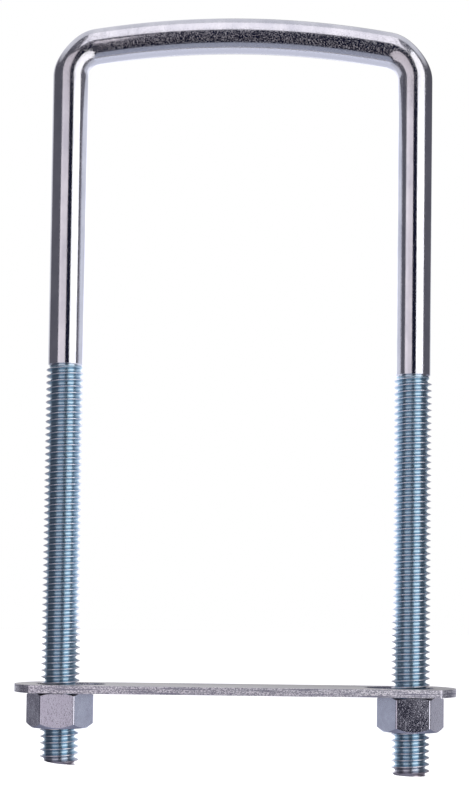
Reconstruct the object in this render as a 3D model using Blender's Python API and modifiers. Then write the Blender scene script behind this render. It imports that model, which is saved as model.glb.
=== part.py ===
"""U-bolt: a bent round bar threaded on both legs, a slotted backing plate and two hex nuts.

Metres, +Z up along the legs to the crown, +X towards the right leg, and the
origin midway between the two leg tips. The thread is 16 turns to the inch,
right-handed, so a nut seen from above that turns anticlockwise climbs.
"""

import math

import bmesh
import bpy
from mathutils import Matrix

COLLECTION_NAME = "u_bolt_assembly"

# Bent bar
LEG_SPACING = 0.0848  # between the centre lines of the legs
OVERALL_HEIGHT = 0.185  # leg tips to the top of the crown
CROWN_RADIUS = 0.215  # centre line of the shallow arch across the top
CORNER_RADIUS = 0.0080  # centre line of the bend from leg to arch

# Thread rolled on both legs
THREAD_MAJOR = 0.0094  # diameter over the crests
THREAD_DEPTH = 0.0009  # crest to root, on the radius
THREAD_PITCH = 0.0254 / 16
THREAD_LENGTH = 0.0975  # leg tip to the end of the run-out
THREAD_PHASE = 0.3  # part of a turn from the tip's plane to a groove at +X of the leg
THREAD_RUNOUT = 0.0016
CREST_RISE = 0.0004  # how far a rolled crest stands proud of the plain bar
TIP_CHAMFER = 0.0009

# Hex nuts
NUT_HEIGHT = 0.0083
NUT_WALL = 0.0024  # bolt crest to the flat of the nut
NUT_FREE_CHAMFER = (0.0019, 0.0015)  # radial and axial, on the side away from the plate
NUT_SEAT_CHAMFER = (0.0008, 0.0005)  # the same, on the side that bears on the plate
NUT_COUNTERSINK = 0.0003  # how far the thread's mouth opens past its groove
LEG_BELOW_NUT = 0.0106

# Backing plate
PLATE_THICKNESS = 0.0019
PLATE_WIDTH = 0.01905
PLATE_END = 0.011  # leg centre line to the tip of the rounded end
PLATE_END_BULGE = 0.0047  # how far the end arc stands out past its own corners
SLOT_SIDE_CLEARANCE = 0.00045
SLOT_OUTER_CLEARANCE = 0.0011
SLOT_INNER_CLEARANCE = 0.0063

# Clearances
RUNNING_GAP = 0.0003  # between faces that touch on the real object
THREAD_CLEARANCE = 0.0003  # radial, bolt thread to nut thread

# Resolution
BAR_SIDES_STEP = 10  # bevel resolution of the bar, which has 4 + 2 * 10 sides
CORNER_STEPS = 8
CROWN_STEPS = 12
THREAD_SEGMENTS = 12
TURNED_SEGMENTS = 32
SLOT_END_STEPS = 12
PLATE_END_STEPS = 10
FACET_TURN = math.radians(3)  # keeps the bar's and the trims' edges off the thread's
MERGE_DISTANCE = 0.000001
SHARP_ANGLE = math.radians(35)

CREST_RADIUS = THREAD_MAJOR / 2
ROOT_RADIUS = CREST_RADIUS - THREAD_DEPTH
BAR_RADIUS = CREST_RADIUS - CREST_RISE
BAR_START = THREAD_LENGTH - THREAD_RUNOUT - THREAD_PITCH / 2  # the plain bar starts inside the thread
LEG_X = LEG_SPACING / 2
NUT_APOTHEM = CREST_RADIUS + NUT_WALL
NUT_CORNER = NUT_APOTHEM / math.cos(math.pi / 6)
NUT_TOP = LEG_BELOW_NUT + NUT_HEIGHT
PLATE_MID = NUT_TOP + RUNNING_GAP + PLATE_THICKNESS / 2


def clear_scene():
    for item in list(bpy.data.objects):
        bpy.data.objects.remove(item, do_unlink=True)


def new_collection(name):
    collection = bpy.data.collections.new(name)
    bpy.context.scene.collection.children.link(collection)
    return collection


def metal(name, color, roughness):
    material = bpy.data.materials.new(name)
    material.use_nodes = True
    shader = material.node_tree.nodes["Principled BSDF"]
    shader.inputs["Base Color"].default_value = (*color, 1)
    shader.inputs["Metallic"].default_value = 1
    shader.inputs["Roughness"].default_value = roughness
    return material


def add_object(name, data, collection, location=(0, 0, 0)):
    item = bpy.data.objects.new(name, data)
    item.location = location
    collection.objects.link(item)
    return item


def as_guide(item):
    """Marks a cutter or a shape that only feeds a Boolean."""
    item.hide_render = True
    item.display_type = "WIRE"
    return item


def boolean(item, other, operation, solver="EXACT"):
    modifier = item.modifiers.new(f"{operation.title()} {other.name}", "BOOLEAN")
    modifier.operation = operation
    modifier.solver = solver
    modifier.object = other


def finish(item, material):
    item.data.materials.append(material)
    item.data.shade_smooth()
    item.data.set_sharp_from_angle(angle=SHARP_ANGLE)


def mesh_from_curve(item, collection):
    """Replaces a curve object by a welded mesh of the same shape."""
    name = item.name
    evaluated = item.evaluated_get(bpy.context.evaluated_depsgraph_get())
    mesh = bpy.data.meshes.new_from_object(evaluated)
    shape = bmesh.new()
    shape.from_mesh(mesh)
    bmesh.ops.remove_doubles(shape, verts=shape.verts, dist=MERGE_DISTANCE)
    bmesh.ops.recalc_face_normals(shape, faces=shape.faces)
    shape.to_mesh(mesh)
    shape.free()
    solid = bpy.data.objects.new(f"{name}_solid", mesh)
    solid.matrix_world = item.matrix_world
    bpy.data.objects.remove(item)
    solid.name = name
    collection.objects.link(solid)
    return solid


def turned(name, profile, location, collection):
    """Guide solid of revolution; profile is (radius, z) from the top of the axis to its foot."""
    outline = bmesh.new()
    corners = [outline.verts.new((radius, 0, z)) for radius, z in profile]
    for upper, lower in zip(corners, corners[1:]):
        outline.edges.new((upper, lower))
    mesh = bpy.data.meshes.new(name)
    outline.to_mesh(mesh)
    outline.free()
    item = add_object(name, mesh, collection, location)
    item.rotation_euler.z = FACET_TURN
    screw = item.modifiers.new("Turn", "SCREW")
    screw.steps = TURNED_SEGMENTS
    screw.render_steps = TURNED_SEGMENTS
    screw.use_merge_vertices = True
    screw.merge_threshold = MERGE_DISTANCE
    return as_guide(item)


def thread_rod(name, root_radius, crest_radius, first_turn, turns, leg_x, collection):
    """Guide rod with a V thread; every rod has its crests on the same helix of the leg."""
    start = (first_turn + THREAD_PHASE) * THREAD_PITCH
    rod = bmesh.new()
    profile = []
    for index in range(2 * turns + 1):
        radius = crest_radius if index % 2 else root_radius
        profile.append(rod.verts.new((radius, 0, start + index * THREAD_PITCH / 2)))
    edges = [rod.edges.new(pair) for pair in zip(profile, profile[1:])]
    bmesh.ops.spin(
        rod,
        geom=profile + edges,
        axis=(0, 0, 1),
        dvec=(0, 0, THREAD_PITCH / THREAD_SEGMENTS),
        angle=2 * math.pi,
        steps=THREAD_SEGMENTS,
    )
    bmesh.ops.remove_doubles(rod, verts=rod.verts, dist=MERGE_DISTANCE)
    middle = start + turns * THREAD_PITCH / 2
    close_rod_end(rod, lambda z: z < middle, start - THREAD_PITCH)
    close_rod_end(rod, lambda z: z > middle, start + (turns + 2) * THREAD_PITCH)
    bmesh.ops.triangulate(rod, faces=rod.faces)
    bmesh.ops.recalc_face_normals(rod, faces=rod.faces)
    mesh = bpy.data.meshes.new(name)
    rod.to_mesh(mesh)
    rod.free()
    return as_guide(add_object(name, mesh, collection, (leg_x, 0, 0)))


def close_rod_end(rod, is_near_end, apex_z):
    """Draws the open end of the rod to a point on its axis."""
    rim = [edge for edge in rod.edges if edge.is_boundary and is_near_end(edge.verts[0].co.z)]
    drawn = bmesh.ops.extrude_edge_only(rod, edges=rim)
    tips = [vert for vert in drawn["geom"] if isinstance(vert, bmesh.types.BMVert)]
    bmesh.ops.pointmerge(rod, verts=tips, merge_co=(0, 0, apex_z))


def bar_centre_line():
    """Centre line of the plain bar, from the left leg's thread over the crown to the right's."""
    arch_z = OVERALL_HEIGHT - BAR_RADIUS - CROWN_RADIUS
    corner_x = LEG_X - CORNER_RADIUS
    corner_z = arch_z + math.sqrt((CROWN_RADIUS - CORNER_RADIUS) ** 2 - corner_x**2)
    lean = math.asin(corner_x / (CROWN_RADIUS - CORNER_RADIUS))
    right = [(LEG_X, BAR_START)]
    for step in range(CORNER_STEPS + 1):
        turn = (math.pi / 2 - lean) * step / CORNER_STEPS
        x = corner_x + CORNER_RADIUS * math.cos(turn)
        right.append((x, corner_z + CORNER_RADIUS * math.sin(turn)))
    left = [(-x, z) for x, z in right]
    arch = []
    for step in range(1, CROWN_STEPS):
        angle = lean * (2 * step / CROWN_STEPS - 1)
        arch.append((CROWN_RADIUS * math.sin(angle), arch_z + CROWN_RADIUS * math.cos(angle)))
    return left + arch + right[::-1]


def bent_bar(collection):
    points = bar_centre_line()
    curve = bpy.data.curves.new("u_bolt", "CURVE")
    curve.dimensions = "3D"
    curve.bevel_depth = BAR_RADIUS
    curve.bevel_resolution = BAR_SIDES_STEP
    curve.use_fill_caps = True
    spline = curve.splines.new("POLY")
    spline.points.add(len(points) - 1)
    for point, (x, z) in zip(spline.points, points):
        point.co = (x, 0, z, 1)
        point.tilt = FACET_TURN
    return mesh_from_curve(add_object("u_bolt", curve, collection), collection)


def threaded_leg(side, leg_x, guides):
    """Thread of one leg, cut off square and chamfered at the tip, fading out at its top."""
    turns = math.ceil(THREAD_LENGTH / THREAD_PITCH) + 4
    rod = thread_rod(f"thread_{side}", ROOT_RADIUS, CREST_RADIUS, -2, turns, leg_x, guides)
    clear = CREST_RADIUS + THREAD_DEPTH
    profile = [
        (0, THREAD_LENGTH),
        (ROOT_RADIUS, THREAD_LENGTH),
        (clear, THREAD_LENGTH - 2 * THREAD_RUNOUT),
        (clear, clear - CREST_RADIUS + TIP_CHAMFER),
        (CREST_RADIUS - TIP_CHAMFER, 0),
        (0, 0),
    ]
    trim = turned(f"thread_trim_{side}", profile, (leg_x, 0, 0), guides)
    boolean(rod, trim, "INTERSECT")
    return rod


def u_bolt(collection, guides):
    bar = bent_bar(collection)
    # EXACT leaves stray faces where the bar's end crosses the trimmed thread
    boolean(bar, threaded_leg("left", -LEG_X, guides), "UNION", solver="MANIFOLD")
    boolean(bar, threaded_leg("right", LEG_X, guides), "UNION", solver="MANIFOLD")
    finish(bar, metal("zinc_plated_bar", (0.62, 0.64, 0.68), 0.18))


def nut_blank_profile():
    """Outline of the two chamfers that turn the corners off the hexagon."""
    free_radial, free_axial = NUT_FREE_CHAMFER
    seat_radial, seat_axial = NUT_SEAT_CHAMFER
    return [
        (0, NUT_HEIGHT),
        (NUT_CORNER - seat_radial, NUT_HEIGHT),
        (NUT_CORNER + seat_radial, NUT_HEIGHT - 2 * seat_axial),
        (NUT_CORNER + free_radial, 2 * free_axial),
        (NUT_CORNER - free_radial, 0),
        (0, 0),
    ]


def nut_mouth_profile():
    """Outline of the countersinks at both ends of the nut's thread."""
    mouth = nut_thread_radius(CREST_RADIUS) + NUT_COUNTERSINK
    waist = mouth - 2 * THREAD_DEPTH
    past = THREAD_DEPTH
    return [
        (0, NUT_HEIGHT + past),
        (mouth + past, NUT_HEIGHT + past),
        (waist, NUT_HEIGHT + waist - mouth),
        (waist, mouth - waist),
        (mouth + past, -past),
        (0, -past),
    ]


def nut_thread_radius(bolt_radius):
    """Radius of the nut's thread where the bolt's is bolt_radius, clear of its facets."""
    return (bolt_radius + THREAD_CLEARANCE) / math.cos(math.pi / THREAD_SEGMENTS)


def hex_nut(side, leg_x, collection, guides):
    place = (leg_x, 0, LEG_BELOW_NUT)
    blank = bmesh.new()
    bmesh.ops.create_cone(
        blank,
        cap_ends=True,
        segments=6,
        radius1=NUT_CORNER,
        radius2=NUT_CORNER,
        depth=NUT_HEIGHT,
    )
    corners_on_x = Matrix.Rotation(math.pi / 2, 3, "Z")
    bmesh.ops.rotate(blank, verts=blank.verts, matrix=corners_on_x)
    bmesh.ops.translate(blank, verts=blank.verts, vec=(0, 0, NUT_HEIGHT / 2))
    mesh = bpy.data.meshes.new(f"nut_{side}")
    blank.to_mesh(mesh)
    blank.free()
    nut = add_object(f"nut_{side}", mesh, collection, place)
    first_turn = math.floor(LEG_BELOW_NUT / THREAD_PITCH) - 2
    turns = math.ceil(NUT_HEIGHT / THREAD_PITCH) + 5
    root = nut_thread_radius(ROOT_RADIUS)
    crest = nut_thread_radius(CREST_RADIUS)
    tap = thread_rod(f"tap_{side}", root, crest, first_turn, turns, leg_x, guides)
    boolean(nut, turned(f"nut_chamfer_{side}", nut_blank_profile(), place, guides), "INTERSECT")
    boolean(nut, tap, "DIFFERENCE")
    boolean(nut, turned(f"nut_mouth_{side}", nut_mouth_profile(), place, guides), "DIFFERENCE")
    finish(nut, metal(f"zinc_plated_nut_{side}", (0.42, 0.41, 0.46), 0.38))


def arc(centre_x, centre_y, radius, start, end, steps):
    """Points of an arc in the plate's plane, both ends included; angles in radians."""
    points = []
    for step in range(steps + 1):
        angle = start + (end - start) * step / steps
        points.append((centre_x + radius * math.cos(angle), centre_y + radius * math.sin(angle)))
    return points


def plate_outline():
    half_width = PLATE_WIDTH / 2
    radius = (half_width**2 + PLATE_END_BULGE**2) / (2 * PLATE_END_BULGE)
    half_angle = math.asin(half_width / radius)
    right = arc(LEG_X + PLATE_END - radius, 0, radius, -half_angle, half_angle, PLATE_END_STEPS)
    left = [(-x, -y) for x, y in right]
    return right + left


def slot_outline(side_sign):
    """One slot round its leg, longer towards the middle of the plate."""
    radius = CREST_RADIUS + SLOT_SIDE_CLEARANCE
    outer_x = LEG_X + CREST_RADIUS + SLOT_OUTER_CLEARANCE - radius
    inner_x = LEG_X - CREST_RADIUS - SLOT_INNER_CLEARANCE + radius
    quarter = math.pi / 2
    outer_end = arc(outer_x, 0, radius, -quarter, quarter, SLOT_END_STEPS)
    inner_end = arc(inner_x, 0, radius, quarter, 3 * quarter, SLOT_END_STEPS)
    return [(side_sign * x, y) for x, y in outer_end + inner_end]


def backing_plate(collection):
    curve = bpy.data.curves.new("backing_plate", "CURVE")
    curve.dimensions = "2D"
    curve.fill_mode = "BOTH"
    curve.extrude = PLATE_THICKNESS / 2
    for outline in (plate_outline(), slot_outline(-1), slot_outline(1)):
        spline = curve.splines.new("POLY")
        spline.points.add(len(outline) - 1)
        spline.use_cyclic_u = True
        for point, (x, y) in zip(spline.points, outline):
            point.co = (x, y, 0, 1)
    flat = add_object("backing_plate", curve, collection, (0, 0, PLATE_MID))
    bpy.context.view_layer.update()
    plate = mesh_from_curve(flat, collection)
    finish(plate, metal("zinc_plated_plate", (0.52, 0.50, 0.48), 0.32))


def main():
    clear_scene()
    parts = new_collection(COLLECTION_NAME)
    guides = new_collection("guides")
    u_bolt(parts, guides)
    backing_plate(parts)
    hex_nut("left", -LEG_X, parts, guides)
    hex_nut("right", LEG_X, parts, guides)


main()
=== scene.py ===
# U-bolt with its backing plate and two hex nuts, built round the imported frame.
# Metres, +Z up along the legs to the crown, the origin midway between the leg tips.
import math

import bmesh
import bpy
from mathutils import Matrix, Vector


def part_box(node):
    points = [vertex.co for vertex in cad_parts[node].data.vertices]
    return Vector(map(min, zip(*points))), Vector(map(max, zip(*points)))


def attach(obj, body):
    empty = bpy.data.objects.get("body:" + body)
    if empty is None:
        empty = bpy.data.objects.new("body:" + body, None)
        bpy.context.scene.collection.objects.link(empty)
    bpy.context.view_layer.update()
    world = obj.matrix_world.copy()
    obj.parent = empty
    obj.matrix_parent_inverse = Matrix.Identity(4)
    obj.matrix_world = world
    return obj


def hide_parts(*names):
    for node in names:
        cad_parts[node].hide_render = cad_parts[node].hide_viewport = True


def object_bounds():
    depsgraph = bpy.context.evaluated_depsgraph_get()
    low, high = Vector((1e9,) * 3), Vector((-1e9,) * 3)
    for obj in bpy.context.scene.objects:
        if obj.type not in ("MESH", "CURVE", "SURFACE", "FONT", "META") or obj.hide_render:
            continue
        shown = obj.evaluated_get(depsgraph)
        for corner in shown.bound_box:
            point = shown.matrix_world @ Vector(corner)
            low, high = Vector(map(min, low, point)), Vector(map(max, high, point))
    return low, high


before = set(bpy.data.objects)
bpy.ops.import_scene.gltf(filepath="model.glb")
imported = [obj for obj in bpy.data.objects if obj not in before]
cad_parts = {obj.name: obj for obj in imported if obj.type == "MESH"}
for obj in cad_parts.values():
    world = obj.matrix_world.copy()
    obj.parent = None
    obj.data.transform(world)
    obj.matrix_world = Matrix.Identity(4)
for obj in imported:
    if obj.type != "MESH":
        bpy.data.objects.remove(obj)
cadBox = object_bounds()
scene = bpy.context.scene

mm = 0.001
fullTurn = 2 * math.pi
quarterTurn = math.pi / 2
mergeDistance = 0.001 * mm
octaveStrength = 0.6  # how much the finer octaves of every noise add
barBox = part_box("u_bolt")
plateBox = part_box("backing_plate")
nutBoxes = {side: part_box("nut_" + side) for side in ("left", "right")}
legX = sum(corner.x for corner in nutBoxes["right"]) / 2
print("frame loaded, legs at", round(legX / mm, 2), "mm each side")


def smoothStep(value):
    clamped = min(1, max(0, value))
    return clamped * clamped * (3 - 2 * clamped)


def chainOf(shape, points):
    verts = [shape.verts.new(point) for point in points]
    return verts + [shape.edges.new(pair) for pair in zip(verts, verts[1:])]


def isVert(item):
    return isinstance(item, bmesh.types.BMVert)


def isEdge(item):
    return isinstance(item, bmesh.types.BMEdge)


def turnedSolid(profile, segments):
    # profile is (radius, z) and starts and ends on the axis
    shape = bmesh.new()
    chain = chainOf(shape, [(radius, 0, z) for radius, z in profile])
    bmesh.ops.spin(shape, geom=chain, axis=(0, 0, 1), angle=fullTurn, steps=segments, use_merge=True)
    bmesh.ops.remove_doubles(shape, verts=shape.verts, dist=mergeDistance)
    bmesh.ops.recalc_face_normals(shape, faces=shape.faces)
    return shape


def trim(shape, point, normal):
    everything = shape.verts[:] + shape.edges[:] + shape.faces[:]
    bmesh.ops.bisect_plane(
        shape, geom=everything, dist=mergeDistance / 10, plane_co=point, plane_no=normal, clear_outer=True
    )


def openRim(shape, isWanted):
    return [edge for edge in shape.edges if edge.is_boundary and isWanted(edge.verts[0].co)]


def asObject(name, shape, materials=()):
    mesh = bpy.data.meshes.new(name)
    shape.to_mesh(mesh)
    shape.free()
    piece = bpy.data.objects.new(name, mesh)
    scene.collection.objects.link(piece)
    for material in materials:
        mesh.materials.append(material)
    return piece


def applyModifiers(piece):
    bpy.context.view_layer.update()
    evaluated = piece.evaluated_get(bpy.context.evaluated_depsgraph_get())
    mesh = bpy.data.meshes.new_from_object(evaluated)
    piece.modifiers.clear()
    piece.data = mesh


def carve(piece, other, operation):
    modifier = piece.modifiers.new(operation.title(), "BOOLEAN")
    modifier.operation = operation
    modifier.solver = "EXACT"
    modifier.object = other
    applyModifiers(piece)
    bpy.data.objects.remove(other)


def softenShading(piece, degrees):
    piece.data.shade_smooth()
    piece.data.set_sharp_from_angle(angle=math.radians(degrees))


def keepFlatsFlat(piece):
    # the big flats set the shading, and only the small rounds between them blend
    weighted = piece.modifiers.new("FlatsFirst", "WEIGHTED_NORMAL")
    weighted.mode = "FACE_AREA"
    weighted.weight = 100
    weighted.keep_sharp = True
    applyModifiers(piece)


def linearColour(hexColour):
    channels = [int(hexColour[start:start + 2], 16) / 255 for start in (1, 3, 5)]
    straight = [c / 12.92 if c <= 0.04045 else ((c + 0.055) / 1.055) ** 2.4 for c in channels]
    return (*straight, 1)


def fillSockets(tree, node, inputs):
    # a node stands for its first live output, and anything that isn't a socket is a value
    for name, value in inputs.items():
        if isinstance(value, bpy.types.Node):
            value = next(socket for socket in value.outputs if socket.enabled)
        if isinstance(value, bpy.types.NodeSocket):
            tree.links.new(value, node.inputs[name])
        else:
            node.inputs[name].default_value = value


def addNode(tree, kind, inputs=None, **settings):
    node = tree.nodes.new("ShaderNode" + kind)
    for name, value in settings.items():
        setattr(node, name, value)
    fillSockets(tree, node, inputs or {})
    return node


def newMetal(name, settings):
    material = bpy.data.materials.new(name)
    material.use_nodes = True
    tree = material.node_tree
    shader = tree.nodes["Principled BSDF"]
    shader.inputs["Metallic"].default_value = 1
    shader.inputs["Base Color"].default_value = linearColour(settings["colour"])
    shader.inputs["Roughness"].default_value = settings["roughness"]
    place = addNode(tree, "TexCoord").outputs["Object"]
    return material, tree, shader, place


bar = {
    "radius": 4.3 * mm,
    "sides": 96,
    "top": min(barBox[1].z, cadBox[1].z),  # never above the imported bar
    "joinGap": 0.06 * mm,
    "shoulderHeight": 0.35 * mm,
    "collar": 0.3 * mm,  # a short ring at each end of a straight, which keeps its shading straight
    "crownRadius": 215 * mm,
    "crownSteps": 40,
    "cornerRadius": 7.8 * mm,
    "cornerSteps": 24,
    "flattened": 0.12,  # a press bend leaves the bar thinner across the outside of the bend
    "widened": 0.05,
    "smoothAngle": 38,
}
archZ = bar["top"] - bar["radius"] - bar["crownRadius"]
cornerX = legX - bar["cornerRadius"]
cornerZ = archZ + math.sqrt((bar["crownRadius"] - bar["cornerRadius"]) ** 2 - cornerX**2)
lean = math.asin(cornerX / (bar["crownRadius"] - bar["cornerRadius"]))

legs = {
    # where the thread stops, how far the tip was cut short and out of square, and its radius
    "left": {"top": 98.3 * mm, "cut": 1.5 * mm, "slant": 8, "tipRadius": 4.2 * mm},
    "right": {"top": 96.7 * mm, "cut": 0, "slant": 1.5, "tipRadius": 3.9 * mm},
}

thread = {
    "pitch": 25.4 * mm / 16,
    "crest": 4.7 * mm,
    "root": 3.62 * mm,
    "phase": 0.3,  # turns from the tip's plane to a groove at +X, as on the nut
    "runOut": 1.1 * mm,
    "shoulder": 3.95 * mm,
    "segments": 48,
    "turnsBelow": 2,  # made past the tip and past the top, and cut off there
    "spareTurns": 3,
    "tipFlare": 0.9,  # radius gained per height above the cut, the chamfer's slope
    "leastRadius": 0.5 * mm,
    "tipInset": 0.5 * mm,
    "tipDish": 0.06 * mm,
    # along one pitch, and height above the root: round grooves and pointed crests
    "profile": (
        (0, 0), (0.1, 0.02), (0.2, 0.11), (0.3, 0.35), (0.38, 0.66), (0.44, 0.93), (0.475, 1),
        (0.525, 1), (0.56, 0.93), (0.62, 0.66), (0.7, 0.35), (0.8, 0.11), (0.9, 0.02),
    ),
}

shankFinish = {
    "colour": "#dcdbe0",
    "dullColour": "#c6c6ce",
    # painted shade on the inside of the crown's bend
    "paintedShadeColour": "#c3c1c6",
    "paintedShadeFrom": -1.6 * mm,  # from the crown's centre line
    "paintedShadeTo": -0.6 * mm,
    "roughness": 0.07,
    "dullRoughness": 0.13,
    "cloudSize": 5 * mm,
    "cloudStretch": 2,  # how much longer than wide
    "cloudLow": 0.35,
    "cloudHigh": 0.7,
    "pitSize": 0.28 * mm,  # real pits are under 0.1 mm, drawn coarser so that they show
    "pitLow": 0.32,
    "pitHigh": 0.46,
    "pitDepth": 0.004 * mm,
    "bentPitDepth": 0.007 * mm,
    "bentFrom": 160 * mm,
    "bentTo": 174 * mm,
    "waveSize": 2.6 * mm,
    "waveStretch": 4,
    "waveDepth": 0.010 * mm,
}


def brightZincShank():
    # Bright zinc electroplate on cold-drawn bar: near mirror, so it shows the lamps as
    # long straight stripes, and its fine pits break the dark stripes into flecks.
    finish = shankFinish
    material, tree, shader, place = newMetal("bright_zinc_on_drawn_bar", finish)
    pits = addNode(
        tree,
        "TexNoise",
        {"Vector": place, "Scale": 1 / finish["pitSize"], "Detail": 2, "Roughness": octaveStrength},
    )
    pits = addNode(
        tree, "MapRange", {"Value": pits, "From Min": finish["pitLow"], "From Max": finish["pitHigh"]}
    )
    # bending opens the pits further
    height = addNode(tree, "SeparateXYZ", {"Vector": place}).outputs["Z"]
    bent = addNode(
        tree, "MapRange", {"Value": height, "From Min": finish["bentFrom"], "From Max": finish["bentTo"]}
    )
    pocks = addNode(tree, "Math", {0: pits, 1: bent}, operation="MULTIPLY")
    # painted shade: the inside of the crown's bend, below its centre line, is tinted darker than the rest
    # of the bar
    fromArch = addNode(tree, "VectorMath", {0: place, 1: (0, 0, archZ)}, operation="SUBTRACT")
    upright = addNode(tree, "VectorMath", {0: fromArch, 1: (1, 0, 1)}, operation="MULTIPLY")
    reach = addNode(tree, "VectorMath", {0: upright}, operation="LENGTH")
    paintedShadeMask = addNode(
        tree,
        "MapRange",
        {
            "Value": reach,
            "From Min": bar["crownRadius"] + finish["paintedShadeFrom"],
            "From Max": bar["crownRadius"] + finish["paintedShadeTo"],
            "To Min": 1,
            "To Max": 0,
        },
    )
    paintedShadeMask = addNode(tree, "Math", {0: paintedShadeMask, 1: bent}, operation="MULTIPLY")
    drawn = addNode(tree, "Mapping", {"Vector": place, "Scale": (1, 1, 1 / finish["waveStretch"])})
    waves = addNode(
        tree,
        "TexNoise",
        {"Vector": drawn, "Scale": 1 / finish["waveSize"], "Detail": 1, "Roughness": octaveStrength},
    )
    drawn = addNode(tree, "Mapping", {"Vector": place, "Scale": (1, 1, 1 / finish["cloudStretch"])})
    clouds = addNode(
        tree,
        "TexNoise",
        {"Vector": drawn, "Scale": 1 / finish["cloudSize"], "Detail": 3, "Roughness": octaveStrength},
    )
    cloudRange = {"Value": clouds, "From Min": finish["cloudLow"], "From Max": finish["cloudHigh"]}
    dull = addNode(tree, "MapRange", cloudRange)
    pair = {6: linearColour(finish["colour"]), 7: linearColour(finish["dullColour"])}
    colour = addNode(tree, "Mix", {0: dull, **pair}, data_type="RGBA")
    # the painted shade colour for the inside of the crown
    paintedShade = linearColour(finish["paintedShadeColour"])
    colour = addNode(tree, "Mix", {0: paintedShadeMask, 6: colour, 7: paintedShade}, data_type="RGBA")
    gloss = {"To Min": finish["roughness"], "To Max": finish["dullRoughness"]}
    roughness = addNode(tree, "MapRange", {**cloudRange, **gloss})
    bump = addNode(tree, "Bump", {"Height": waves, "Distance": finish["waveDepth"], "Strength": 1})
    for pattern, depth in ((pits, "pitDepth"), (pocks, "bentPitDepth")):
        inputs = {"Height": pattern, "Distance": finish[depth], "Strength": 1, "Normal": bump}
        bump = addNode(tree, "Bump", inputs)
    fillSockets(tree, shader, {"Base Color": colour, "Roughness": roughness, "Normal": bump})
    return material


threadFinish = {
    "colour": "#a5bccb",
    # painted highlight along the thread crests
    "crestHighlightColour": "#f1ecf1",
    "roughness": 0.28,
    "crestHighlightFrom": 4.25 * mm,
    "crestHighlightTo": 4.6 * mm,
    "tipColour": "#b4a9b0",
    "tipFrom": 2.4 * mm,
    "tipTo": 1.0 * mm,
    "grainSize": 0.35 * mm,  # coarser than the real grain, so that it shows
    "grainDepth": 0.014 * mm,
}


def blueZincThread():
    # The same plate passivated blue, teal in the rolled grooves, with a painted highlight
    # giving the crests a pale near-white colour.
    finish = threadFinish
    material, tree, shader, place = newMetal("blue_passivated_zinc_thread", finish)
    axes = addNode(tree, "SeparateXYZ", {"Vector": place})
    across = addNode(tree, "Math", {0: axes.outputs["X"]}, operation="ABSOLUTE")
    across = addNode(tree, "Math", {0: across, 1: legX}, operation="SUBTRACT")
    flat = addNode(tree, "CombineXYZ", {"X": across, "Y": axes.outputs["Y"]})
    reach = addNode(tree, "VectorMath", {0: flat}, operation="LENGTH")
    # painted highlight: the colour turns near white towards the crests
    paintedCrestHighlight = addNode(
        tree, "MapRange", {"Value": reach, "From Min": finish["crestHighlightFrom"], "From Max": finish["crestHighlightTo"]}
    )
    pair = {6: linearColour(finish["colour"]), 7: linearColour(finish["crestHighlightColour"])}
    colour = addNode(tree, "Mix", {0: paintedCrestHighlight, **pair}, data_type="RGBA")
    # the sawn tips are worn bare, the left one further up
    cutShort = addNode(
        tree,
        "MapRange",
        {
            "Value": axes.outputs["X"],
            "From Min": -mm,
            "From Max": mm,
            "To Min": legs["left"]["cut"],
            "To Max": legs["right"]["cut"],
        },
    )
    tipHeight = addNode(tree, "Math", {0: axes.outputs["Z"], 1: cutShort}, operation="SUBTRACT")
    worn = addNode(
        tree, "MapRange", {"Value": tipHeight, "From Min": finish["tipFrom"], "From Max": finish["tipTo"]}
    )
    bare = linearColour(finish["tipColour"])
    colour = addNode(tree, "Mix", {0: worn, 6: colour, 7: bare}, data_type="RGBA")
    grain = addNode(
        tree,
        "TexNoise",
        {"Vector": place, "Scale": 1 / finish["grainSize"], "Detail": 2, "Roughness": octaveStrength},
    )
    bump = addNode(tree, "Bump", {"Height": grain, "Distance": finish["grainDepth"], "Strength": 1})
    fillSockets(tree, shader, {"Base Color": colour, "Normal": bump})
    return material


shankMetal = brightZincShank()
threadMetal = blueZincThread()
print("bar finishes made")


def helixThread(crest, root, firstTurn, turns, segments):
    # every groove in one chain, spun one turn while it climbs a pitch, so it lands on itself
    shape = bmesh.new()
    points = []
    for turn in range(firstTurn, firstTurn + turns):
        for along, height in thread["profile"]:
            z = (turn + thread["phase"] + along) * thread["pitch"]
            points.append((root + height * (crest - root), 0, z))
    bmesh.ops.spin(
        shape,
        geom=chainOf(shape, points),
        axis=(0, 0, 1),
        dvec=(0, 0, thread["pitch"] / segments),
        angle=fullTurn,
        steps=segments,
    )
    bmesh.ops.remove_doubles(shape, verts=shape.verts, dist=mergeDistance)
    return shape


def reshapeRound(shape, newRadius):
    for vert in shape.verts:
        reach = math.hypot(vert.co.x, vert.co.y)
        wanted = newRadius(vert.co, reach)
        vert.co.x *= wanted / reach
        vert.co.y *= wanted / reach


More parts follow.
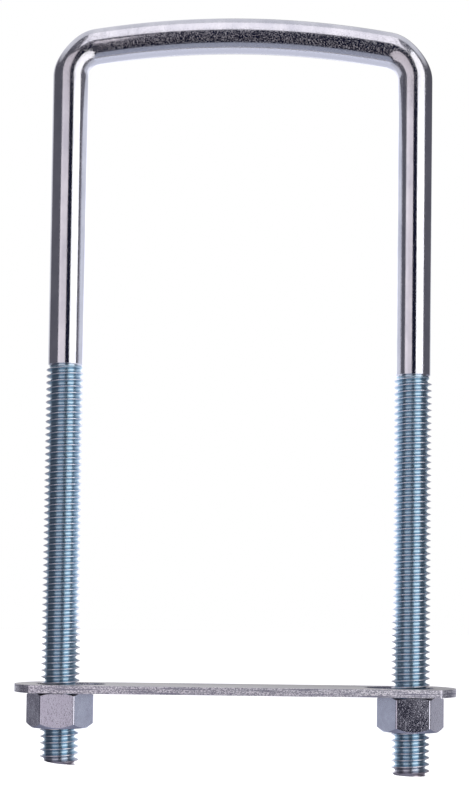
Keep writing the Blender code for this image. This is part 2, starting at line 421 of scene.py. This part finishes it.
def threadedLeg(side):
    leg = legs[side]
    turns = math.ceil(leg["top"] / thread["pitch"]) + thread["spareTurns"]
    shape = helixThread(
        thread["crest"], thread["root"], -thread["turnsBelow"], turns, thread["segments"]
    )
    slant = math.tan(math.radians(leg["slant"]))

    def radiusAt(place, reach):
        aboveCut = place.z - leg["cut"] - slant * (thread["crest"] - place.x)
        chamfered = leg["tipRadius"] + thread["tipFlare"] * aboveCut
        reach = min(reach, max(thread["leastRadius"], chamfered))
        fade = smoothStep((place.z - leg["top"] + thread["runOut"]) / thread["runOut"])
        return reach + fade * (thread["shoulder"] - reach)

    reshapeRound(shape, radiusAt)
    trim(shape, (thread["crest"], 0, leg["cut"]), (-slant, 0, -1))
    trim(shape, (0, 0, leg["top"]), (0, 0, 1))
    end = bmesh.ops.edgeloop_fill(shape, edges=openRim(shape, lambda co: co.z < leg["top"] / 2))
    bmesh.ops.recalc_face_normals(shape, faces=shape.faces)
    bmesh.ops.inset_region(
        shape, faces=end["faces"], thickness=thread["tipInset"], depth=-thread["tipDish"]
    )
    bmesh.ops.translate(shape, verts=shape.verts, vec=(legX if side == "right" else -legX, 0, 0))
    return shape


def pullRing(shape, ring, move, widen=1.0):
    # carries the open end of the bar on by a straight pull, and scales it about its own centre
    pulled = bmesh.ops.extrude_edge_only(shape, edges=ring)["geom"]
    verts = [item for item in pulled if isVert(item)]
    bmesh.ops.translate(shape, verts=verts, vec=move)
    centre = sum((vert.co for vert in verts), Vector()) / len(verts)
    bmesh.ops.scale(shape, verts=verts, vec=(widen, widen, 1), space=Matrix.Translation(-centre))
    return [item for item in pulled if isEdge(item)]


def bendRing(shape, ring, centre, angle, steps):
    verts = list({vert for edge in ring for vert in edge.verts})
    bent = bmesh.ops.spin(
        shape, geom=verts + ring, cent=centre, axis=(0, -1, 0), angle=angle, steps=steps
    )
    return [item for item in bent["geom_last"] if isEdge(item)]


def pressCorners(shape):
    sweep = quarterTurn - lean
    for vert in shape.verts:
        side = math.copysign(1, vert.co.x)
        across = side * vert.co.x - cornerX
        up = vert.co.z - cornerZ
        angle = math.atan2(up, across)
        if vert.co.z < cornerZ or not 0 < angle < sweep:
            continue
        pressed = math.sin(math.pi * angle / sweep) ** 2
        reach = math.hypot(across, up)
        offset = reach - bar["cornerRadius"]
        if offset > 0:
            offset *= 1 - bar["flattened"] * pressed
        wanted = bar["cornerRadius"] + offset
        vert.co.x = side * (cornerX + across * wanted / reach)
        vert.co.z = cornerZ + up * wanted / reach
        vert.co.y *= 1 + bar["widened"] * pressed


def bentBar():
    shape = bmesh.new()
    for side in ("left", "right"):
        leg = threadedLeg(side)
        mesh = bpy.data.meshes.new("leg")
        leg.to_mesh(mesh)
        leg.free()
        shape.from_mesh(mesh)
        bpy.data.meshes.remove(mesh)
    for face in shape.faces:
        face.material_index = 1
    rims = {
        "right": openRim(shape, lambda co: co.x > 0),
        "left": openRim(shape, lambda co: co.x < 0),
    }
    start = bmesh.ops.create_circle(
        shape,
        segments=bar["sides"],
        radius=thread["shoulder"],
        matrix=Matrix.Translation((legX, 0, legs["right"]["top"] + bar["joinGap"])),
    )
    first = list({edge for vert in start["verts"] for edge in vert.link_edges})
    rise = bar["shoulderHeight"]
    swell = bar["radius"] / thread["shoulder"]
    collar = bar["collar"]
    straight = {
        side: cornerZ - leg["top"] - bar["joinGap"] - rise - 2 * collar for side, leg in legs.items()
    }
    # up the right leg, over the crown and down the left leg
    ring = pullRing(shape, first, (0, 0, rise), swell)
    for reach in (collar, straight["right"], collar):
        ring = pullRing(shape, ring, (0, 0, reach))
    ring = bendRing(shape, ring, (cornerX, 0, cornerZ), quarterTurn - lean, bar["cornerSteps"])
    ring = bendRing(shape, ring, (0, 0, archZ), 2 * lean, bar["crownSteps"])
    ring = bendRing(shape, ring, (-cornerX, 0, cornerZ), quarterTurn - lean, bar["cornerSteps"])
    for reach in (collar, straight["left"], collar):
        ring = pullRing(shape, ring, (0, 0, -reach))
    last = pullRing(shape, ring, (0, 0, -rise), 1 / swell)
    bmesh.ops.bridge_loops(shape, edges=rims["right"] + first)
    bmesh.ops.bridge_loops(shape, edges=rims["left"] + last)
    pressCorners(shape)
    bmesh.ops.recalc_face_normals(shape, faces=shape.faces)
    return asObject("bent_bar_with_threads", shape, (shankMetal, threadMetal))


bentBarPiece = bentBar()
softenShading(bentBarPiece, bar["smoothAngle"])
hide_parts("u_bolt")
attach(bentBarPiece, "u_bolt")
print("bent bar:", len(bentBarPiece.data.polygons), "faces")


nut = {
    "apothem": 7.1 * mm,
    "cornerRound": 0.32 * mm,
    "roundSegments": 3,
    "freeChamfer": (1.4 * mm, 1.2 * mm),  # radial and axial, on the side away from the plate
    "seatChamfer": (0.8 * mm, 0.5 * mm),
    "turnedSegments": 96,
    "threadGap": 0.1 * mm,
    "threadSegments": 40,
    "spareTurns": 3,
    "tapOverrun": 1.3 * mm,
    "mouth": 5.05 * mm,
    "mouthOverrun": 1 * mm,
    "smoothAngle": 28,
}

nutFinish = {
    "colour": "#bab8c6",
    "paleColour": "#c6c5d2",
    "paleLow": 0.35,
    "paleHigh": 0.65,
    "roughness": 0.17,
    "dullRoughness": 0.25,
    "dullLow": 0.3,
    "dullHigh": 0.7,
    "cloudSize": 3 * mm,
    "pitSize": 0.5 * mm,  # real dimples are about 0.1 mm, drawn coarser so that they show
    "pitLow": 0.3,
    "pitHigh": 0.46,
    "pitDepth": 0.012 * mm,
}


def satinZincNut():
    # Zinc on cold-forged steel: a soft lavender grey from afar, and finely dimpled by the
    # forging, which shows only where a flat mirrors something dark.
    finish = nutFinish
    material, tree, shader, place = newMetal("zinc_on_forged_nut", finish)
    clouds = addNode(
        tree,
        "TexNoise",
        {"Vector": place, "Scale": 1 / finish["cloudSize"], "Detail": 2, "Roughness": octaveStrength},
    )
    pale = addNode(
        tree, "MapRange", {"Value": clouds, "From Min": finish["paleLow"], "From Max": finish["paleHigh"]}
    )
    pair = {6: linearColour(finish["colour"]), 7: linearColour(finish["paleColour"])}
    colour = addNode(tree, "Mix", {0: pale, **pair}, data_type="RGBA")
    roughness = addNode(
        tree,
        "MapRange",
        {
            "Value": clouds,
            "From Min": finish["dullLow"],
            "From Max": finish["dullHigh"],
            "To Min": finish["roughness"],
            "To Max": finish["dullRoughness"],
        },
    )
    pits = addNode(
        tree,
        "TexNoise",
        {"Vector": place, "Scale": 1 / finish["pitSize"], "Detail": 2, "Roughness": octaveStrength},
    )
    pits = addNode(
        tree, "MapRange", {"Value": pits, "From Min": finish["pitLow"], "From Max": finish["pitHigh"]}
    )
    bump = addNode(tree, "Bump", {"Height": pits, "Distance": finish["pitDepth"], "Strength": 1})
    fillSockets(tree, shader, {"Base Color": colour, "Roughness": roughness, "Normal": bump})
    return material


nutMetal = satinZincNut()
print("nut finish made")


def tapFor(place, bottom, height):
    # the bolt's own helix, wider by the running gap, run past both faces of the nut
    firstTurn = math.floor(bottom / thread["pitch"]) - nut["spareTurns"]
    turns = math.ceil(height / thread["pitch"]) + 2 * nut["spareTurns"]
    gap = nut["threadGap"]
    shape = helixThread(
        thread["crest"] + gap, thread["root"] + gap, firstTurn, turns, nut["threadSegments"]
    )
    trim(shape, (0, 0, bottom - nut["tapOverrun"]), (0, 0, -1))
    trim(shape, (0, 0, bottom + height + nut["tapOverrun"]), (0, 0, 1))
    for isEnd in (lambda co: co.z < bottom, lambda co: co.z > bottom):
        bmesh.ops.edgeloop_fill(shape, edges=openRim(shape, isEnd))
    bmesh.ops.recalc_face_normals(shape, faces=shape.faces)
    bmesh.ops.translate(shape, verts=shape.verts, vec=(place.translation.x, 0, 0))
    return shape


def hexNut(side):
    low, high = nutBoxes[side]
    height = high.z - low.z
    corner = nut["apothem"] / math.cos(math.pi / 6)
    place = Matrix.Translation((legX if side == "right" else -legX, 0, low.z))
    hexagon = bmesh.new()
    bmesh.ops.create_cone(
        hexagon, cap_ends=True, segments=6, radius1=corner, radius2=corner, depth=height
    )
    bmesh.ops.rotate(hexagon, verts=hexagon.verts, matrix=Matrix.Rotation(quarterTurn, 3, "Z"))
    bmesh.ops.translate(hexagon, verts=hexagon.verts, vec=(0, 0, height / 2))
    upright = [
        edge for edge in hexagon.edges if abs(edge.verts[0].co.z - edge.verts[1].co.z) > height / 2
    ]
    bmesh.ops.bevel(
        hexagon,
        geom=upright,
        offset=nut["cornerRound"],
        offset_type="OFFSET",
        affect="EDGES",
        segments=nut["roundSegments"],
        profile=0.5,
        material=-1,
    )
    bmesh.ops.transform(hexagon, matrix=place, verts=hexagon.verts)
    piece = asObject("hex_nut_" + side, hexagon, (nutMetal, threadMetal))
    freeRadial, freeAxial = nut["freeChamfer"]
    seatRadial, seatAxial = nut["seatChamfer"]
    blank = turnedSolid(
        (
            (0, height),
            (corner - seatRadial, height),
            (corner + seatRadial, height - 2 * seatAxial),
            (corner + freeRadial, 2 * freeAxial),
            (corner - freeRadial, 0),
            (0, 0),
        ),
        nut["turnedSegments"],
    )
    bmesh.ops.transform(blank, matrix=place, verts=blank.verts)
    carve(piece, asObject("blank", blank), "INTERSECT")
    carve(piece, asObject("tap", tapFor(place, low.z, height)), "DIFFERENCE")
    # the 45 degree countersink at each face, run past the face
    past = nut["mouthOverrun"]
    mouths = turnedSolid(
        (
            (0, height + past),
            (nut["mouth"] + past, height + past),
            (nut["mouth"] - past, height - past),
            (nut["mouth"] - past, past),
            (nut["mouth"] + past, -past),
            (0, -past),
        ),
        nut["turnedSegments"],
    )
    bmesh.ops.transform(mouths, matrix=place, verts=mouths.verts)
    carve(piece, asObject("mouths", mouths), "DIFFERENCE")
    return piece


for side in ("left", "right"):
    nutPiece = hexNut(side)
    softenShading(nutPiece, nut["smoothAngle"])
    keepFlatsFlat(nutPiece)
    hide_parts("nut_" + side)
    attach(nutPiece, "nut_" + side)
    print("hex nut:", side, len(nutPiece.data.polygons), "faces")


plate = {
    "endBulge": 4.7 * mm,
    "endSteps": 40,
    "slotWidth": 10.3 * mm,
    "slotOuter": 5.8 * mm,  # from the leg's centre line to each end of the slot
    "slotInner": 11.0 * mm,
    "slotSteps": 24,
    "edgeRound": 0.15 * mm,
    "roundSegments": 3,
    "roundFrom": 60,  # degrees between two faces that get a round
    "flatWithin": 0.5,  # degrees under which two faces are one
    "smoothAngle": 40,
}

plateFinish = {
    "colour": "#c4bfb8",
    "greyColour": "#b3b2b4",
    "roughness": 0.36,
    "dullRoughness": 0.5,
    "rollingStretch": 3,  # the strip was rolled along X
    "cloudSize": 4 * mm,
    "cloudLow": 0.3,
    "cloudHigh": 0.7,
    "grainSize": 0.4 * mm,  # coarser than the real grain, so that it shows
    "grainDepth": 0.012 * mm,
}


def satinZincPlate():
    # Zinc on rolled strip: a warm satin grey, with the strip's long rolling grain.
    finish = plateFinish
    material, tree, shader, place = newMetal("zinc_on_rolled_strip", finish)
    rolled = addNode(
        tree, "Mapping", {"Vector": place, "Scale": (1 / finish["rollingStretch"], 1, 1)}
    )
    clouds = addNode(
        tree,
        "TexNoise",
        {"Vector": rolled, "Scale": 1 / finish["cloudSize"], "Detail": 3, "Roughness": octaveStrength},
    )
    cloudRange = {"Value": clouds, "From Min": finish["cloudLow"], "From Max": finish["cloudHigh"]}
    grey = addNode(tree, "MapRange", cloudRange)
    pair = {6: linearColour(finish["colour"]), 7: linearColour(finish["greyColour"])}
    colour = addNode(tree, "Mix", {0: grey, **pair}, data_type="RGBA")
    gloss = {"To Min": finish["roughness"], "To Max": finish["dullRoughness"]}
    roughness = addNode(tree, "MapRange", {**cloudRange, **gloss})
    grain = addNode(
        tree,
        "TexNoise",
        {"Vector": rolled, "Scale": 1 / finish["grainSize"], "Detail": 3, "Roughness": octaveStrength},
    )
    bump = addNode(tree, "Bump", {"Height": grain, "Distance": finish["grainDepth"], "Strength": 1})
    fillSockets(tree, shader, {"Base Color": colour, "Roughness": roughness, "Normal": bump})
    return material


edgeFinish = {
    # the near-white colour of the painted glints
    "colour": "#f9f6fc",
    "darkColour": "#a3a1af",
    "scoredColour": "#9a99a9",
    "roughness": 0.45,
    "grainSize": 0.24 * mm,  # real torn grain is about 0.05 mm, drawn coarser so that it shows
    "grainStretch": 1.4,
    "grainLow": 0.42,
    "grainHigh": 0.58,
    "grainDepth": 0.04 * mm,
    "scoreSize": 0.4 * mm,
    "scoreStretch": 30,
    "scoreFrom": 0.46,
    "scoreTo": 0.36,
}


def shearedZincEdge():
    # The sheared side of the strip: torn grains with painted glints, bright speckles tinted near white,
    # scored along by the shear.
    finish = edgeFinish
    material, tree, shader, place = newMetal("zinc_on_sheared_edge", finish)
    across = 1 / finish["grainStretch"]
    torn = addNode(tree, "Mapping", {"Vector": place, "Scale": (across, across, 1)})
    grain = addNode(
        tree,
        "TexNoise",
        {"Vector": torn, "Scale": 1 / finish["grainSize"], "Detail": 2, "Roughness": octaveStrength},
    )
    # painted glints: the grain noise tints speckles of the edge near white
    paintedGlint = addNode(
        tree, "MapRange", {"Value": grain, "From Min": finish["grainLow"], "From Max": finish["grainHigh"]}
    )
    pair = {6: linearColour(finish["darkColour"]), 7: linearColour(finish["colour"])}
    colour = addNode(tree, "Mix", {0: paintedGlint, **pair}, data_type="RGBA")
    along = 1 / finish["scoreStretch"]
    sheared = addNode(tree, "Mapping", {"Vector": place, "Scale": (along, along, 1)})
    scores = addNode(
        tree,
        "TexNoise",
        {"Vector": sheared, "Scale": 1 / finish["scoreSize"], "Detail": 1, "Roughness": octaveStrength},
    )
    scored = addNode(
        tree, "MapRange", {"Value": scores, "From Min": finish["scoreFrom"], "From Max": finish["scoreTo"]}
    )
    dark = linearColour(finish["scoredColour"])
    colour = addNode(tree, "Mix", {0: scored, 6: colour, 7: dark}, data_type="RGBA")
    bump = addNode(tree, "Bump", {"Height": grain, "Distance": finish["grainDepth"], "Strength": 1})
    fillSockets(tree, shader, {"Base Color": colour, "Normal": bump})
    return material


plateMetal = satinZincPlate()
edgeMetal = shearedZincEdge()
print("plate finishes made")


def arcPoints(centreX, radius, start, end, steps):
    points = []
    for step in range(steps + 1):
        angle = start + (end - start) * step / steps
        points.append((centreX + radius * math.cos(angle), radius * math.sin(angle)))
    return points


def backingPlate():
    low, high = plateBox
    halfWidth = high.y
    bulge = plate["endBulge"]
    endRadius = (halfWidth**2 + bulge**2) / (2 * bulge)
    halfAngle = math.asin(halfWidth / endRadius)
    end = arcPoints(high.x - endRadius, endRadius, -halfAngle, halfAngle, plate["endSteps"])
    slotRadius = plate["slotWidth"] / 2
    outerX = legX + plate["slotOuter"] - slotRadius
    innerX = legX - plate["slotInner"] + slotRadius
    slot = arcPoints(outerX, slotRadius, -quarterTurn, quarterTurn, plate["slotSteps"])
    slot += arcPoints(innerX, slotRadius, quarterTurn, 3 * quarterTurn, plate["slotSteps"])
    outlines = [end + [(-x, -y) for x, y in end], slot, [(-x, y) for x, y in slot]]
    curve = bpy.data.curves.new("plate_outline", "CURVE")
    curve.dimensions = "2D"
    curve.fill_mode = "BOTH"
    curve.extrude = (high.z - low.z) / 2
    for outline in outlines:
        spline = curve.splines.new("POLY")
        spline.points.add(len(outline) - 1)
        spline.use_cyclic_u = True
        for point, (x, y) in zip(spline.points, outline):
            point.co = (x, y, 0, 1)
    flat = bpy.data.objects.new("plate_outline", curve)
    scene.collection.objects.link(flat)
    bpy.context.view_layer.update()
    mesh = bpy.data.meshes.new_from_object(flat.evaluated_get(bpy.context.evaluated_depsgraph_get()))
    bpy.data.objects.remove(flat)
    shape = bmesh.new()
    shape.from_mesh(mesh)
    bmesh.ops.remove_doubles(shape, verts=shape.verts, dist=mergeDistance)
    bmesh.ops.dissolve_limit(
        shape, angle_limit=math.radians(plate["flatWithin"]), verts=shape.verts, edges=shape.edges
    )
    bmesh.ops.recalc_face_normals(shape, faces=shape.faces)
    for face in shape.faces:
        face.material_index = 0 if abs(face.normal.z) > 0.5 else 1  # the faces, or the sheared sides
    bmesh.ops.translate(shape, verts=shape.verts, vec=(0, 0, (low.z + high.z) / 2))
    return asObject("slotted_backing_plate", shape, (plateMetal, edgeMetal))


platePiece = backingPlate()
roundEdges = platePiece.modifiers.new("RoundEdges", "BEVEL")
roundEdges.width = plate["edgeRound"]
roundEdges.segments = plate["roundSegments"]
roundEdges.limit_method = "ANGLE"
roundEdges.angle_limit = math.radians(plate["roundFrom"])
applyModifiers(platePiece)
softenShading(platePiece, plate["smoothAngle"])
keepFlatsFlat(platePiece)
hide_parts("backing_plate")
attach(platePiece, "backing_plate")
print("backing plate:", len(platePiece.data.polygons), "faces")


lamps = {
    # middle, a point it faces, width, height, colour, radiance
    "softbox_left": ((-0.131, -0.278, 0.07), (0.694, 0.288, 0.07), 0.297, 0.46, "#f9f2f6", 0.97),
    "softbox_right": ((0.150, -0.210, 0.09), (-0.842, -0.083, 0.09), 0.292, 0.5, "#ffffff", 1.7),
    "softbox_over": ((0, -0.42, 0.62), (0, -0.42, 0), 0.36, 0.74, "#f9f6fa", 1.22),
    "card_inside": ((0, 0.008, 0.105), (0, -1, 0.105), 0.088, 0.14, "#dfe3ee", 0.92),
    "card_low": ((0, 0.008, 0.009), (0, -1, 0.009), 0.088, 0.018, "#d3dde8", 0.62),
}


def addLamp(name, middle, target, width, height, colour, radiance):
    lamp = bpy.data.lights.new(name, "AREA")
    lamp.shape = "RECTANGLE"
    lamp.size = width
    lamp.size_y = height
    lamp.color = linearColour(colour)[:3]
    lamp.energy = radiance * math.pi * width * height
    item = bpy.data.objects.new(name, lamp)
    scene.collection.objects.link(item)
    facing = (Vector(target) - Vector(middle)).normalized()
    item.matrix_world = Matrix.Translation(middle) @ facing.to_track_quat("-Z", "Y").to_matrix().to_4x4()
    item.visible_camera = False


for name, settings in lamps.items():
    addLamp(name, *settings)


floor = {
    "radius": 3.0,
    "segments": 64,
    "drop": 30 * mm,  # the nuts and the plate may run down past the leg ends
    "colour": "#f2f2f2",
    "roughness": 0.9,
    "glow": 0.8,
}


def floorDisc():
    shape = bmesh.new()
    bmesh.ops.create_circle(
        shape,
        cap_ends=True,
        segments=floor["segments"],
        radius=floor["radius"],
        matrix=Matrix.Translation((0, 0, cadBox[0].z - floor["drop"])),
    )
    # Matt white paper, lit until it is as plain as the wall behind.
    material = bpy.data.materials.new("white_paper_sweep")
    material.use_nodes = True
    shader = material.node_tree.nodes["Principled BSDF"]
    shader.inputs["Base Color"].default_value = linearColour(floor["colour"])
    shader.inputs["Roughness"].default_value = floor["roughness"]
    shader.inputs["Emission Color"].default_value = (1, 1, 1, 1)
    shader.inputs["Emission Strength"].default_value = floor["glow"]
    return asObject("paper_floor", shape, (material,))


floorPiece = floorDisc()
floorPiece.visible_glossy = False  # the plated legs mirror the lamps down to their tips
floorPiece.visible_shadow = False


room = {
    "dark": "#66666f",
    "gap": "#1a1c30",  # the darker space between the two softboxes
    "ground": "#b4bbce",
    "groundBehind": "#8f94a4",
    "back": "#e8e9f0",
    # the rest are directions of length 1, and a pair is where one tone ends and the next begins
    "gapDepth": (-0.2, -0.1),
    "gapWidth": (0.55, 0.7),
    "gapTop": (0.36, 0.42),
    "gapFoot": (-0.84, -0.80),
    "middle": (-0.05, 0.05),
    "lateWithHeight": 1.4,  # the light paper starts further round on the right, and more so higher up
    "lateOnLeft": 0.09,
    "backDepth": (0.52, 0.62),
    "skyHeight": (0.5, 0.6),
    "skyDepth": (-0.12, -0.06),
    "horizonRise": 0.55,
    "horizonDepth": (0.4, 0.6),
    "horizon": (-0.86, -0.8),
    "groundDepth": (0.1, 0.5),
}


def surroundings():
    # what the mirror-like plating sees between the lamps: a dark room, light paper behind
    world = bpy.data.worlds.new("studio_room")
    scene.world = world
    world.use_nodes = True
    tree = world.node_tree
    tree.nodes.clear()
    toward = addNode(tree, "TexCoord").outputs["Generated"]
    axes = addNode(tree, "SeparateXYZ", {"Vector": toward})
    x, y, z = (axes.outputs[name] for name in "XYZ")
    width = addNode(tree, "Math", {0: x}, operation="ABSOLUTE")
    # what each ramp follows, between which values, and what it runs from and to
    steps = {
        "ahead": (y, room["gapDepth"], (1, 0)),
        "narrow": (width, room["gapWidth"], (1, 0)),
        "underTop": (z, room["gapTop"], (1, 0)),
        "overFoot": (z, room["gapFoot"], (0, 1)),
        "onRight": (x, room["middle"], (0, 1)),
        "onLeft": (x, room["middle"], (room["lateOnLeft"], 0)),
        "rise": (z, (0, 1), (0, room["lateWithHeight"])),
        "high": (z, room["skyHeight"], (0, 1)),
        "overhead": (y, room["skyDepth"], (0, 1)),
        "sink": (y, room["horizonDepth"], (0, room["horizonRise"])),
        "far": (y, room["groundDepth"], (0, 1)),
    }
    ramps = {}
    for name, (follows, (start, end), (low, high)) in steps.items():
        inputs = {"Value": follows, "From Min": start, "From Max": end, "To Min": low, "To Max": high}
        ramps[name] = addNode(tree, "MapRange", inputs)
    tones = {
        name: linearColour(room[name]) for name in ("dark", "gap", "ground", "groundBehind", "back")
    }
    inGap = ramps["ahead"]
    for name in ("narrow", "underTop", "overFoot"):
        inGap = addNode(tree, "Math", {0: inGap, 1: ramps[name]}, operation="MULTIPLY")
    colour = addNode(tree, "Mix", {0: inGap, 6: tones["dark"], 7: tones["gap"]}, data_type="RGBA")
    late = addNode(tree, "Math", {0: ramps["onRight"], 1: ramps["rise"]}, operation="MULTIPLY")
    depth = addNode(tree, "Math", {0: y, 1: late}, operation="SUBTRACT")
    depth = addNode(tree, "Math", {0: depth, 1: ramps["onLeft"]}, operation="SUBTRACT")
    start, end = room["backDepth"]
    behind = addNode(tree, "MapRange", {"Value": depth, "From Min": start, "From Max": end})
    above = addNode(tree, "Math", {0: ramps["high"], 1: ramps["overhead"]}, operation="MULTIPLY")
    for share in (behind, above):
        colour = addNode(tree, "Mix", {0: share, 6: colour, 7: tones["back"]}, data_type="RGBA")
    height = addNode(tree, "Math", {0: z, 1: ramps["sink"]}, operation="SUBTRACT")
    start, end = room["horizon"]
    below = addNode(
        tree,
        "MapRange",
        {"Value": height, "From Min": start, "From Max": end, "To Min": 1, "To Max": 0},
    )
    pair = {6: tones["ground"], 7: tones["groundBehind"]}
    ground = addNode(tree, "Mix", {0: ramps["far"], **pair}, data_type="RGBA")
    colour = addNode(tree, "Mix", {0: below, 6: colour, 7: ground}, data_type="RGBA")
    seen = addNode(tree, "Background", {"Color": colour, "Strength": 1})
    paper = addNode(tree, "Background", {"Color": (1, 1, 1, 1), "Strength": 1})
    straight = addNode(tree, "LightPath").outputs["Is Camera Ray"]
    mixed = addNode(tree, "MixShader", {0: straight, 1: seen, 2: paper})
    addNode(tree, "OutputWorld", {"Surface": mixed})


surroundings()
scene.view_settings.view_transform = "Standard"
print("studio lit with", len(lamps), "lamps")


view = {
    "place": (0, -0.43, 0.043),
    "pitch": 3.0,
    "yaw": 0.1,
    "roll": 0.72,
    "lens": 79.6,
    "sensor": 36,
    "shift": 0.128,
    "nearest": 10 * mm,
}
cameraData = bpy.data.cameras.new("camera")
cameraData.lens = view["lens"]
cameraData.sensor_width = view["sensor"]
cameraData.shift_y = view["shift"]
cameraData.clip_start = view["nearest"]
camera = bpy.data.objects.new("camera", cameraData)
scene.collection.objects.link(camera)
camera.matrix_world = (
    Matrix.Translation(view["place"])
    @ Matrix.Rotation(math.radians(view["yaw"]), 4, "Z")
    @ Matrix.Rotation(math.radians(90 + view["pitch"]), 4, "X")
    @ Matrix.Rotation(math.radians(view["roll"]), 4, "Z")
)
scene.camera = camera

bpy.context.view_layer.update()
